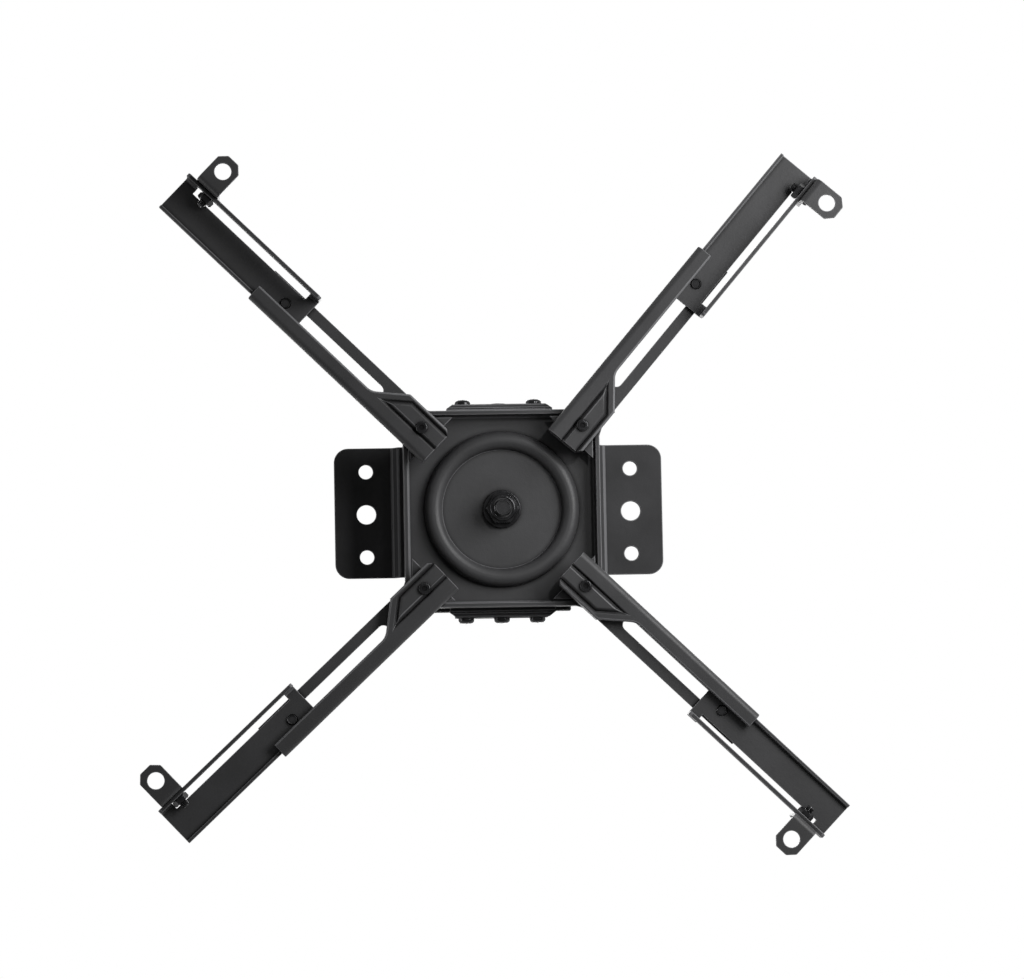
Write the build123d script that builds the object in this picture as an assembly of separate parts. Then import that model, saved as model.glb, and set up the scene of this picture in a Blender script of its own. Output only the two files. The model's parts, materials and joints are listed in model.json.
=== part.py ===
from build123d import *
import math
import os

# Sheet steel and fits
SHEET = 2.0
ARM_SHEET = 1.8
BEND_INSIDE = 1.0
RUNNING_GAP = 0.08
SLIDING_GAP = 0.35

# Ceiling bracket: two ears against the ceiling, a lowered middle and two cheeks
EAR_REACH = 75.0
EAR_START = 47.3
EAR_WIDTH = 59.5
EAR_SETBACK = 0.6
EAR_CORNER = 6.5
MIDDLE_DROP = 4.0
MIDDLE_REACH = 44.9
STEP_RADIUS = 1.5
CHEEK_HALF_WIDTH = 31.4
CHEEK_PROUD_OF_TRAY = 1.2
CHEEK_HEIGHT = 15.2
CHEEK_CORNER = 3.0
CEILING_HOLE_REACH = 60.5
CEILING_HOLE_PITCH = 19.5
SMALL_HOLE_RADIUS = 3.25
LARGE_HOLE_RADIUS = 4.4

# Tilting yoke
TILT_DROP = 11.0
TILT_LIMIT = 8.0
TILT_SCREW_PITCH = 16.2
TILT_SLOT_SPARE = 1.2
FRICTION_PLATE = 0.8
FRICTION_PLATE_HALF = (21.0, 4.0)
YOKE_HALF_WIDTH = 24.0
YOKE_CHEEK_HALF_WIDTH = 21.2
YOKE_TOP_DROP = 3.8
YOKE_TOP_CHAMFER = 3.0
YOKE_CORNER_CUT = 2.2
YOKE_WEB_DROP = 19.0
SMALL_SHANK = 2.0
SMALL_SHANK_TIP = 0.4
SMALL_SHANK_PAST_NUT = 1.0
TILT_HEAD = (3.7, 2.5)
TILT_RIVET_HEAD = (3.5, 0.6)
TILT_RIVET_FOOT = (2.9, 1.0)
SMALL_NUT = (7.0, 3.2)
RECESS_LENGTH = 3.8
RECESS_WIDTH = 0.9

# Swivel: bolt, friction washer, pressed disc, washer and lock nut
BOLT_RADIUS = 4.0
BOLT_HEAD = (13.0, 5.3)
BOLT_TIP_CHAMFER = 0.9
HEXAGON_CHAMFER = 0.5
FRICTION_WASHER = (22.0, 0.8)
DISC_SHEET = 1.5
DISC_BEAD_CENTRE = 31.0
DISC_BEAD_RADIUS = 4.0
DISC_BEAD_WALL = 1.1
LOCK_WASHER = (8.5, 1.6)
LOCK_WASHER_CHAMFER = 0.25
LOCK_NUT = (13.0, 6.2)
LOCK_NUT_CROWN = (5.9, 1.8)
LOCK_NUT_CROWN_ROUNDING = 1.1
NYLON_RING = (5.0, 1.3)
NYLON_RING_COVER = (0.5, 0.4)
BOLT_TIP_PAST_NUT = 2.4

# Hub tray with raised corners that carry the arms
TRAY_HALF = 44.4
TRAY_DEPTH = 10.0
TRAY_CORNER = 5.0
CORNER_LEG = 25.6
CORNER_SLIT_WIDTH = 1.0
CORNER_SLIT_FROM_CORNER = 10.2
PIVOT_INSET = 8.25
LOBE_HALF_WIDTH = 6.5
LOBE_REACH = 8.5
LOBE_FLARE = 2.2

# Arms, measured outward from the pivot and sideways towards the foot.
# Each arm: corner of the tray, turn from that corner's diagonal, how far its foot is slid inwards.
ARM_PLACES = {
    "back_right": (-45.0, -4.6, 0.0),
    "front_right": (45.0, -1.2, 3.4),
    "front_left": (135.0, 1.9, 1.7),
    "back_left": (225.0, -0.7, 4.1),
}
PIVOT_WASHER = (6.0, 0.6)
PIVOT_SHANK = 2.2
PIVOT_HEAD = (4.2, 1.5)
PIVOT_END = (2.7, 1.2)
PIVOT_END_ROUNDING = 0.7
PIVOT_DIMPLE = (1.2, 0.8)
INNER_BACK = 11.0
SPINE_REACH = 10.9
SPINE_INSET = 3.5
SPINE_EDGE_ROUNDING = 0.9
STRIP_REACH = 6.9
CHANNEL_ROOM = 4.0
HUB_REACH = 7.5
HUB_STRAIGHT = 14.0
HUB_TAPER = 0.8
HUB_SHOULDER_RADIUS = 2.5
HUB_NECK_RADIUS = 7.0
HUB_NECK_LENGTH = 3.0
HUB_CORNER_CUT = 2.4
PLATEAU_RISE = 0.5
PLATEAU_REACH = 5.2
PLATEAU_SPINE_SIDE = 2.8
PLATEAU_STRAIGHT = 10.7
GROOVE_WIDTH = 1.8
GROOVE_FLAT = 0.3
GROOVE_DEPTH = 0.9
ARM_SLOT_OFFSET = 0.95
ARM_SLOT_WIDTH = 5.5
ARM_SLOT_START = 23.5
ARM_SLOT_SPARE = 1.0
ARM_OUT_TRAVEL = 3.0
ARM_END_MARGIN = 7.3
CLAMP_REACH = 83.0
CLAMP_SHANK = 2.4
CLAMP_SHANK_TIP = 0.5
CLAMP_PAST_WEB = 1.0
CLAMP_HEAD = (4.75, 2.6)
CLAMP_SOCKET = (3.0, 1.7)
CLAMP_WASHER = (5.0, 1.0)

CLAMP_MARGIN = 10.6
OUTER_LENGTH = 81.6
OUTER_SPINE_REACH = 8.7
OUTER_SPINE_ROUNDING = 1.2
OUTER_WEB_REACH = 6.3
OUTER_FLANGE_INSIDE = 9.4
OUTER_LIP_CLEARANCE = 0.3
OUTER_LIP_THICKNESS = 1.5
OUTER_CORNER = 1.5
FLANGE_DEPTH = 11.8
FLANGE_STRIP = 4.4
FLANGE_SLOT_MARGIN = 5.5
FLANGE_SLOT_SPARE = 0.3

# Feet
FOOT_END_MARGIN = 0.7
FOOT_SCREW_BACK = 2.0
FOOT_SCREW_DROP = 5.2
FOOT_WIDTH = 12.6
FOOT_TAB_END = 28.3
FOOT_CHAMFER = 3.3
FOOT_CORNER = 1.5
FOOT_HOLE_SIDE = 21.4
FOOT_HOLE_RADIUS = 3.75
FOOT_TAB_DROP = 16.8
FOOT_LEG_RISE = 2.4
FOOT_TRAVEL = 3.5
FOOT_HEAD = (3.5, 2.3)
FOOT_NUT_HEIGHT = 2.8
FOOT_SCREW_END = 4.0

# Extra length of cutting shapes, so that they pass right through
OVERCUT = 1.0

# Levels that follow from the sizes above
TILT_HEIGHT = -TILT_DROP
YOKE_TOP = -YOKE_TOP_DROP
YOKE_WEB_TOP = -YOKE_WEB_DROP
YOKE_WEB_BOTTOM = YOKE_WEB_TOP - SHEET
TRAY_TOP = YOKE_WEB_BOTTOM - FRICTION_WASHER[1]
TRAY_FACE = TRAY_TOP - SHEET
TRAY_BOTTOM = TRAY_TOP - TRAY_DEPTH
TAB_TOP = TRAY_BOTTOM + SHEET
DISC_FACE = TRAY_FACE - DISC_SHEET
WASHER_FACE = DISC_FACE - LOCK_WASHER[1]
NUT_FACE = WASHER_FACE - LOCK_NUT[1] - LOCK_NUT_CROWN[1]
ARM_TOP = TRAY_BOTTOM - PIVOT_WASHER[1]
ARM_FLOOR = ARM_TOP - ARM_SHEET
SPINE_BOTTOM = ARM_FLOOR - CHANNEL_ROOM - ARM_SHEET
WEB_BOTTOM = ARM_FLOOR - ARM_SHEET
PLATEAU_FACE = SPINE_BOTTOM - PLATEAU_RISE
FOOT_SCREW_HEIGHT = ARM_FLOOR - FOOT_SCREW_DROP
FOOT_TAB_BOTTOM = ARM_FLOOR - FOOT_TAB_DROP

# Reaches that follow from the sizes above
CHEEK_OUTSIDE = TRAY_HALF + CHEEK_PROUD_OF_TRAY
YOKE_INSIDE = CHEEK_OUTSIDE + FRICTION_PLATE
YOKE_OUTSIDE = YOKE_INSIDE + SHEET
PIVOT_REACH = TRAY_HALF - PIVOT_INSET
ARM_SLOT_END = CLAMP_REACH + ARM_OUT_TRAVEL + CLAMP_SHANK + ARM_SLOT_SPARE
INNER_END = ARM_SLOT_END + ARM_END_MARGIN
OUTER_START = CLAMP_REACH - CLAMP_MARGIN
OUTER_END = OUTER_START + OUTER_LENGTH
OUTER_FLANGE_SIDE = OUTER_FLANGE_INSIDE + ARM_SHEET
FOOT_LEG_SIDE = OUTER_FLANGE_SIDE + ARM_SHEET
FOOT_CENTRE_REACH = OUTER_END - FOOT_WIDTH / 2 - FOOT_END_MARGIN
FOOT_SCREW_REACH = FOOT_CENTRE_REACH - FOOT_SCREW_BACK
FLANGE_SLOT_START = OUTER_START + FLANGE_SLOT_MARGIN
FLANGE_SLOT_END = FOOT_SCREW_REACH + SMALL_SHANK + FLANGE_SLOT_SPARE


def sheet(points, low, high):
    """Flat sheet with these corner points, between two heights."""
    outline = make_face(Polyline(*points, close=True))
    return Pos(0, 0, low) * extrude(outline, high - low, dir=(0, 0, 1))


def block(x_low, x_high, y_low, y_high, z_low, z_high):
    """Box given by its limits."""
    size = Box(x_high - x_low, y_high - y_low, z_high - z_low)
    middle = Pos((x_low + x_high) / 2, (y_low + y_high) / 2, (z_low + z_high) / 2)
    return middle * size


def post(radius, low, high, x=0.0, y=0.0):
    """Upright cylinder between two heights."""
    return Pos(x, y, (low + high) / 2) * Cylinder(radius, high - low)


def hole(radius, low, high, x=0.0, y=0.0):
    """Cutting bar that passes a little beyond both heights."""
    return post(radius, low - OVERCUT, high + OVERCUT, x, y)


def ring(outside, inside, low, high):
    """Flat ring between two heights."""
    return post(outside, low, high) - hole(inside, low, high)


def long_hole(start, end, side, width, low, high):
    """Slot with round ends along X."""
    radius = width / 2
    body = block(start + radius, end - radius, side - radius, side + radius, low, high)
    return body + post(radius, low, high, start + radius, side) + post(radius, low, high, end - radius, side)


def folded(outside_line, inside_line, plane, length, outside_radius, inside_radius):
    """Bent sheet: two matching lines closed at their ends and drawn out to both sides."""
    edges = FilletPolyline(*outside_line, radius=outside_radius)
    edges += FilletPolyline(*inside_line, radius=inside_radius)
    edges += Line(outside_line[0], inside_line[0])
    edges += Line(outside_line[-1], inside_line[-1])
    return extrude(plane * make_face(edges), length / 2, both=True)


def hexagon(across_flats, low, high):
    """Hexagon bar with lightly rounded-off corners at both ends."""
    bar = Pos(0, 0, low) * extrude(RegularPolygon(across_flats / 2, 6, major_radius=False), high - low)
    corner_radius = across_flats / math.sqrt(3) - HEXAGON_CHAMFER / 8
    ends = chamfer(post(corner_radius, low, high).edges().filter_by(GeomType.CIRCLE), HEXAGON_CHAMFER)
    return bar & ends


def cross_recess(depth, top):
    """Cross-shaped driver recess sunk from this height."""
    length = RECESS_LENGTH / 2
    width = RECESS_WIDTH / 2
    arm = block(-length, length, -width, width, top - depth, top + OVERCUT)
    return arm + Rot(0, 0, 90) * arm


def domed_screw(head, shank_radius, shank_length):
    """Screw standing on its head's seat at height zero, with the head above it."""
    radius, height = head
    cap = post(radius, 0, height)
    cap = fillet(cap.edges().group_by(Axis.Z)[-1], height * 2 / 3)
    shank = post(shank_radius, -shank_length, 0)
    shank = chamfer(shank.edges().group_by(Axis.Z)[0], SMALL_SHANK_TIP)
    return cap + shank - cross_recess(height / 2, height)


def small_nut(height, bore):
    """Small hexagon nut lying from height zero upwards."""
    return hexagon(SMALL_NUT[0], 0, height) - hole(bore, 0, height)


def ceiling_bracket():
    """Cross-shaped bracket: ears left and right, cheeks front and back."""
    top = [
        (-EAR_REACH, 0), (-EAR_START, 0), (-MIDDLE_REACH, -MIDDLE_DROP),
        (MIDDLE_REACH, -MIDDLE_DROP), (EAR_START, 0), (EAR_REACH, 0),
    ]
    slope = math.atan2(MIDDLE_DROP, EAR_START - MIDDLE_REACH)
    outward = SHEET * math.tan(slope / 2)
    under = [
        (-EAR_REACH, -SHEET), (-EAR_START - outward, -SHEET), (-MIDDLE_REACH - outward, -MIDDLE_DROP - SHEET),
        (MIDDLE_REACH + outward, -MIDDLE_DROP - SHEET), (EAR_START + outward, -SHEET), (EAR_REACH, -SHEET),
    ]
    body = folded(top, under, Plane.XZ, EAR_WIDTH, STEP_RADIUS, STEP_RADIUS)
    body = Pos(0, -EAR_SETBACK, 0) * body
    for side in (-1, 1):
        corners = body.edges().filter_by(Axis.Z).filter_by(
            lambda edge: abs(edge.center().X - side * EAR_REACH) < SHEET / 2)
        body = fillet(corners, EAR_CORNER)
    middle_under = -MIDDLE_DROP - SHEET
    outside = [
        (-CHEEK_OUTSIDE, -CHEEK_HEIGHT), (-CHEEK_OUTSIDE, -MIDDLE_DROP),
        (CHEEK_OUTSIDE, -MIDDLE_DROP), (CHEEK_OUTSIDE, -CHEEK_HEIGHT),
    ]
    inside_reach = CHEEK_OUTSIDE - SHEET
    inside = [
        (-inside_reach, -CHEEK_HEIGHT), (-inside_reach, middle_under),
        (inside_reach, middle_under), (inside_reach, -CHEEK_HEIGHT),
    ]
    cheeks = folded(outside, inside, Plane.YZ, 2 * CHEEK_HALF_WIDTH, BEND_INSIDE + SHEET, BEND_INSIDE)
    low_corners = cheeks.edges().filter_by(Axis.Y).group_by(Axis.Z)[0]
    cheeks = fillet(low_corners, CHEEK_CORNER)
    body += cheeks
    for side in (-1, 1):
        reach = side * CEILING_HOLE_REACH
        body -= hole(LARGE_HOLE_RADIUS, -SHEET, 0, reach, 0)
        for end in (-1, 1):
            body -= hole(SMALL_HOLE_RADIUS, -SHEET, 0, reach, end * CEILING_HOLE_PITCH)
    for step in (-1, 0, 1):
        body -= tilt_hole(step * TILT_SCREW_PITCH, SMALL_SHANK)
    return body


def tilt_hole(x, radius):
    """Round bar through both cheeks at the tilt height."""
    return Pos(x, 0, TILT_HEIGHT) * Rot(90, 0, 0) * Cylinder(radius, 2 * (YOKE_OUTSIDE + OVERCUT))


def tilt_arc():
    """Curved slots either side of the tilt axis, drawn out through both cheeks."""
    inner = TILT_SCREW_PITCH - SMALL_SHANK - SLIDING_GAP
    outer = TILT_SCREW_PITCH + SMALL_SHANK + SLIDING_GAP
    sweep = math.radians(TILT_LIMIT + TILT_SLOT_SPARE)
    far = 2 * outer
    wedge = make_face(Polyline(
        (0, 0), (far * math.cos(sweep), far * math.sin(sweep)),
        (far * math.cos(sweep), -far * math.sin(sweep)), close=True))
    arc = (Circle(outer) - Circle(inner)) & wedge
    for turn in (-sweep, sweep):
        arc += Pos(TILT_SCREW_PITCH * math.cos(turn), TILT_SCREW_PITCH * math.sin(turn)) * Circle(
            (outer - inner) / 2)
    slot = extrude(Plane.XZ * arc, YOKE_OUTSIDE + OVERCUT, both=True)
    slot = Pos(0, 0, TILT_HEIGHT) * slot
    return slot + mirror(slot, Plane.YZ)


def yoke():
    """Bent strap that hangs from the tilt screws and carries the swivel bolt."""
    outside = [
        (-YOKE_OUTSIDE, YOKE_TOP), (-YOKE_OUTSIDE, YOKE_WEB_BOTTOM),
        (YOKE_OUTSIDE, YOKE_WEB_BOTTOM), (YOKE_OUTSIDE, YOKE_TOP),
    ]
    inside = [
        (-YOKE_INSIDE, YOKE_TOP), (-YOKE_INSIDE, YOKE_WEB_TOP),
        (YOKE_INSIDE, YOKE_WEB_TOP), (YOKE_INSIDE, YOKE_TOP),
    ]
    body = folded(outside, inside, Plane.YZ, 2 * YOKE_HALF_WIDTH, BEND_INSIDE + SHEET, BEND_INSIDE)
    far = YOKE_HALF_WIDTH + OVERCUT
    narrow = YOKE_CHEEK_HALF_WIDTH
    bend_top = YOKE_WEB_TOP + BEND_INSIDE
    for side in (-1, 1):
        waste = make_face(Polyline(
            (side * narrow, bend_top), (side * narrow, YOKE_TOP - YOKE_TOP_CHAMFER),
            (side * (narrow - YOKE_TOP_CHAMFER), YOKE_TOP), (side * far, YOKE_TOP),
            (side * far, bend_top), close=True))
        body -= extrude(Plane.XZ * waste, YOKE_OUTSIDE + OVERCUT, both=True)
        for end in (-1, 1):
            body -= sheet([
                (side * narrow, end * YOKE_OUTSIDE), (side * far, end * YOKE_OUTSIDE),
                (side * far, end * (YOKE_OUTSIDE - YOKE_CORNER_CUT)),
                (side * YOKE_HALF_WIDTH, end * (YOKE_OUTSIDE - YOKE_CORNER_CUT)),
            ], YOKE_WEB_BOTTOM - OVERCUT, YOKE_TOP + OVERCUT)
    body -= tilt_hole(0, SMALL_SHANK + RUNNING_GAP)
    body -= tilt_arc()
    body -= hole(BOLT_RADIUS, YOKE_WEB_BOTTOM, YOKE_WEB_TOP)
    return body


def friction_plate(side):
    """Thin nylon strip between a bracket cheek and a yoke cheek."""
    half_length, half_height = FRICTION_PLATE_HALF
    near = min(side * CHEEK_OUTSIDE, side * YOKE_INSIDE)
    body = block(-half_length, half_length, near, near + FRICTION_PLATE,
                 TILT_HEIGHT - half_height, TILT_HEIGHT + half_height)
    body = fillet(body.edges().filter_by(Axis.Y), half_height * 0.9)
    for step in (-1, 0, 1):
        body -= tilt_hole(step * TILT_SCREW_PITCH, SMALL_SHANK)
    return body


def beside_cheek(body, x, side, y):
    """Turn an upright fastener so that its head looks outwards from a cheek."""
    return Pos(x, side * y, TILT_HEIGHT) * Rot(-90 * side, 0, 0) * body


def tilt_screw(x, side):
    """Domed screw through yoke, friction plate and bracket cheek."""
    length = YOKE_OUTSIDE - CHEEK_OUTSIDE + SHEET + SMALL_NUT[1] + SMALL_SHANK_PAST_NUT
    return beside_cheek(domed_screw(TILT_HEAD, SMALL_SHANK, length), x, side, YOKE_OUTSIDE)


def tilt_rivet(side):
    """Low-headed pivot rivet, set over inside the bracket cheek."""
    radius, height = TILT_RIVET_HEAD
    foot_radius, foot_height = TILT_RIVET_FOOT
    length = YOKE_OUTSIDE - CHEEK_OUTSIDE + SHEET
    body = post(radius, 0, height) + post(SMALL_SHANK, -length, 0)
    body += post(foot_radius, -length - foot_height, -length)
    return beside_cheek(body, 0, side, YOKE_OUTSIDE)


def tilt_nut(x, side):
    """Nut inside a bracket cheek."""
    return beside_cheek(small_nut(SMALL_NUT[1], SMALL_SHANK), x, side, CHEEK_OUTSIDE - SHEET - SMALL_NUT[1])


def swivel_bolt():
    """Hexagon bolt from the yoke down through the disc."""
    across, height = BOLT_HEAD
    tip = NUT_FACE - BOLT_TIP_PAST_NUT
    shank = post(BOLT_RADIUS, tip, YOKE_WEB_TOP)
    shank = chamfer(shank.edges().group_by(Axis.Z)[0], BOLT_TIP_CHAMFER)
    return hexagon(across, YOKE_WEB_TOP, YOKE_WEB_TOP + height) + shank


def swivel_washer():
    """Nylon washer between the yoke and the tray."""
    return ring(FRICTION_WASHER[0], BOLT_RADIUS, TRAY_TOP, YOKE_WEB_BOTTOM)


def swivel_disc():
    """Pressed steel disc with a raised round bead near its rim."""
    back = TRAY_FACE
    face = DISC_FACE
    low = DISC_BEAD_CENTRE - DISC_BEAD_RADIUS
    high = DISC_BEAD_CENTRE + DISC_BEAD_RADIUS
    crest = face - DISC_BEAD_RADIUS
    hollow = DISC_BEAD_RADIUS - DISC_BEAD_WALL
    section = Line((BOLT_RADIUS, back), (BOLT_RADIUS, face))
    section += Line((BOLT_RADIUS, face), (low, face))
    section += ThreePointArc((low, face), (DISC_BEAD_CENTRE, crest), (high, face))
    section += Line((high, face), (high, back))
    section += Line((high, back), (DISC_BEAD_CENTRE + hollow, back))
    section += ThreePointArc((DISC_BEAD_CENTRE + hollow, back), (DISC_BEAD_CENTRE, crest + DISC_SHEET),
                             (DISC_BEAD_CENTRE - hollow, back))
    section += Line((DISC_BEAD_CENTRE - hollow, back), (BOLT_RADIUS, back))
    return revolve(Plane.XZ * make_face(section), Axis.Z)


def lock_washer():
    """Steel washer on the disc."""
    body = ring(LOCK_WASHER[0], BOLT_RADIUS, WASHER_FACE, DISC_FACE)
    rim = body.edges().filter_by(GeomType.CIRCLE).group_by(SortBy.RADIUS)[-1].group_by(Axis.Z)[0]
    return chamfer(rim, LOCK_WASHER_CHAMFER)


def lock_nut():
    """Lock nut with a rounded crown that holds its nylon ring."""
    across, height = LOCK_NUT
    crown_radius, crown_height = LOCK_NUT_CROWN
    ring_radius, ring_height = NYLON_RING
    cover_width, cover_height = NYLON_RING_COVER
    hexagon_face = WASHER_FACE - height
    ring_low = NUT_FACE + cover_height
    crown = post(crown_radius, NUT_FACE, hexagon_face + HEXAGON_CHAMFER)
    crown = fillet(crown.edges().group_by(Axis.Z)[0], LOCK_NUT_CROWN_ROUNDING)
    body = hexagon(across, hexagon_face, WASHER_FACE) + crown
    body -= hole(BOLT_RADIUS, NUT_FACE, WASHER_FACE)
    body -= post(ring_radius, ring_low, ring_low + ring_height)
    return body - hole(ring_radius - cover_width, NUT_FACE, NUT_FACE)


def nylon_ring():
    """Ring gripped inside the lock nut's crown."""
    low = NUT_FACE + NYLON_RING_COVER[1]
    return ring(NYLON_RING[0], BOLT_RADIUS, low, low + NYLON_RING[1])


def corner_tab():
    """Raised corner with a slit beside each wall and a lobe under the arm, in the first quarter."""
    cut = TRAY_HALF - CORNER_LEG
    tab = sheet([(cut, TRAY_HALF), (TRAY_HALF, cut), (TRAY_HALF, TRAY_HALF)], TRAY_BOTTOM, TAB_TOP)
    slit_outside = TRAY_HALF - SHEET
    slit_inside = slit_outside - CORNER_SLIT_WIDTH
    slit_end = TRAY_HALF - CORNER_SLIT_FROM_CORNER
    slit = block(slit_inside, slit_outside, cut, slit_end, TRAY_BOTTOM - OVERCUT, TAB_TOP + OVERCUT)
    tab -= slit
    tab -= mirror(slit, Plane(origin=(0, 0, 0), x_dir=(0, 0, 1), z_dir=(1, -1, 0)))
    half = LOBE_HALF_WIDTH
    edge = PIVOT_INSET * math.sqrt(2)
    lobe = sheet([(0, -half), (LOBE_REACH, -half), (LOBE_REACH, half), (0, half)], TRAY_BOTTOM, TAB_TOP)
    lobe += post(half, TRAY_BOTTOM, TAB_TOP, LOBE_REACH)
    lobe += sheet([
        (edge - half - LOBE_FLARE, half + LOBE_FLARE), (edge - half - LOBE_FLARE, -half - LOBE_FLARE),
        (edge - half + LOBE_FLARE, -half), (edge - half + LOBE_FLARE, half),
    ], TRAY_BOTTOM, TAB_TOP)
    return tab + Pos(PIVOT_REACH, PIVOT_REACH, 0) * Rot(0, 0, 45) * lobe


def hub_tray():
    """Square pressed tray, open below, with four corner tabs for the arms."""
    half = TRAY_HALF
    body = block(-half, half, -half, half, TRAY_BOTTOM, TRAY_TOP)
    body = fillet(body.edges().filter_by(Axis.Z), TRAY_CORNER)
    body = fillet(body.edges().group_by(Axis.Z)[-1], BEND_INSIDE + SHEET)
    inner = half - SHEET
    hollow = block(-inner, inner, -inner, inner, TRAY_BOTTOM - 2 * SHEET, TRAY_FACE)
    hollow = fillet(hollow.edges().filter_by(Axis.Z), TRAY_CORNER - SHEET)
    hollow = fillet(hollow.edges().group_by(Axis.Z)[-1], BEND_INSIDE)
    body -= hollow
    tab = corner_tab() - hole(PIVOT_SHANK, TRAY_BOTTOM, TAB_TOP, PIVOT_REACH, PIVOT_REACH)
    for quarter in range(4):
        body += Rot(0, 0, 90 * quarter) * tab
    return body - hole(BOLT_RADIUS + RUNNING_GAP, TRAY_FACE, TRAY_TOP)


def arm_washer():
    """Nylon washer between a corner tab and an arm."""
    return ring(PIVOT_WASHER[0], PIVOT_SHANK, ARM_TOP, TRAY_BOTTOM)


def arm_rivet():
    """Pivot rivet of an arm: flat head on the tab, shank, rolled end with a dimple."""
    head = post(PIVOT_HEAD[0], TAB_TOP, TAB_TOP + PIVOT_HEAD[1])
    shank = post(PIVOT_SHANK, PLATEAU_FACE, TAB_TOP)
    end_face = PLATEAU_FACE - PIVOT_END[1]
    end = post(PIVOT_END[0], end_face, PLATEAU_FACE)
    end = fillet(end.edges().group_by(Axis.Z)[0], PIVOT_END_ROUNDING)
    dimple = post(PIVOT_DIMPLE[0], end_face - OVERCUT, end_face + PIVOT_DIMPLE[1])
    return head + shank + end - dimple


def spine_channel():
    """Three-sided channel of the inner arm: floor, wall and narrower spine, with round bends."""
    outside = [
        (STRIP_REACH, ARM_TOP), (-SPINE_REACH, ARM_TOP), (-SPINE_REACH, SPINE_BOTTOM),
        (-SPINE_INSET, SPINE_BOTTOM),
    ]
    wall = ARM_SHEET - SPINE_REACH
    under = SPINE_BOTTOM + ARM_SHEET
    inside = [(STRIP_REACH, ARM_FLOOR), (wall, ARM_FLOOR), (wall, under), (-SPINE_INSET, under)]
    length = INNER_END + INNER_BACK
    body = folded(outside, inside, Plane.YZ, length, BEND_INSIDE + ARM_SHEET, BEND_INSIDE)
    spine_edge = body.edges().filter_by(Axis.X).group_by(Axis.Z)[0].sort_by(Axis.Y)[-1]
    body = fillet(spine_edge, SPINE_EDGE_ROUNDING)
    return Pos((INNER_END - INNER_BACK) / 2, 0, 0) * body


def hub_cover():
    """Widened part of the spine at the hub end: a flat cover that tapers back to the spine."""
    point = HUB_STRAIGHT + (HUB_REACH + SPINE_INSET) / HUB_TAPER
    neck = point + HUB_NECK_LENGTH
    root = -SPINE_INSET - 2 * SPINE_EDGE_ROUNDING
    body = sheet([
        (-INNER_BACK, root), (neck, root), (neck, -SPINE_INSET), (point, -SPINE_INSET),
        (HUB_STRAIGHT, HUB_REACH), (-INNER_BACK, HUB_REACH),
    ], SPINE_BOTTOM, SPINE_BOTTOM + ARM_SHEET)
    upright = body.edges().filter_by(Axis.Z)
    body = fillet(upright.sort_by_distance((point, -SPINE_INSET, SPINE_BOTTOM))[0], HUB_NECK_RADIUS)
    upright = body.edges().filter_by(Axis.Z)
    body = fillet(upright.sort_by_distance((HUB_STRAIGHT, HUB_REACH, SPINE_BOTTOM))[0], HUB_SHOULDER_RADIUS)
    rim = body.edges().group_by(Axis.Z)[0].filter_by(
        lambda edge: edge.center().Y > root + SPINE_EDGE_ROUNDING and -INNER_BACK < edge.center().X - OVERCUT
        and edge.center().X < neck - OVERCUT / 2)
    return fillet(rim, SPINE_EDGE_ROUNDING)


def plateau_outline(spread, height):
    """Outline along the middle of the groove, moved outwards by a spread, at one level."""
    side = PLATEAU_REACH + spread
    spine_side = -PLATEAU_SPINE_SIDE - spread
    corner = PLATEAU_STRAIGHT + spread * (math.hypot(1, HUB_TAPER) - 1) / HUB_TAPER
    tip = corner + (side - spine_side) / HUB_TAPER
    back = -INNER_BACK - OVERCUT
    corners = [(back, spine_side), (tip, spine_side), (corner, side), (back, side)]
    return Pos(0, 0, height) * make_face(Polyline(*corners, close=True))


def plateau():
    """Raised top inside the groove."""
    edge = -GROOVE_WIDTH / 2
    foot = plateau_outline(edge, SPINE_BOTTOM)
    return loft([foot, plateau_outline(edge - PLATEAU_RISE, PLATEAU_FACE)], ruled=True)


def plateau_groove():
    """Groove pressed in all round the plateau, narrower at its bottom."""
    low = SPINE_BOTTOM
    high = SPINE_BOTTOM + GROOVE_DEPTH
    wide = GROOVE_WIDTH / 2
    flat = GROOVE_FLAT / 2
    outside = loft([plateau_outline(wide, low), plateau_outline(flat, high)], ruled=True)
    inside = loft([plateau_outline(-wide, low), plateau_outline(-flat, high)], ruled=True)
    return outside - inside


def inner_arm():
    """Inner arm: covered hub end round the pivot, then an open channel with a long slot."""
    body = spine_channel() + hub_cover()
    body += block(-INNER_BACK, HUB_STRAIGHT, HUB_REACH - ARM_SHEET, HUB_REACH,
                  SPINE_BOTTOM + SPINE_EDGE_ROUNDING, ARM_TOP)
    body += plateau() & block(-INNER_BACK, INNER_END, -SPINE_REACH, HUB_REACH, PLATEAU_FACE, SPINE_BOTTOM)
    body -= plateau_groove()
    body -= sheet([
        (-INNER_BACK - OVERCUT, HUB_REACH - HUB_CORNER_CUT), (-INNER_BACK, HUB_REACH - HUB_CORNER_CUT),
        (HUB_CORNER_CUT - INNER_BACK, HUB_REACH), (HUB_CORNER_CUT - INNER_BACK, HUB_REACH + OVERCUT),
        (-INNER_BACK - OVERCUT, HUB_REACH + OVERCUT),
    ], PLATEAU_FACE - OVERCUT, ARM_TOP + OVERCUT)
    body -= hole(PIVOT_SHANK + RUNNING_GAP, PLATEAU_FACE, ARM_TOP)
    return body - long_hole(
        ARM_SLOT_START, ARM_SLOT_END, -ARM_SLOT_OFFSET, ARM_SLOT_WIDTH, ARM_FLOOR - OVERCUT, ARM_TOP + OVERCUT)


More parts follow.
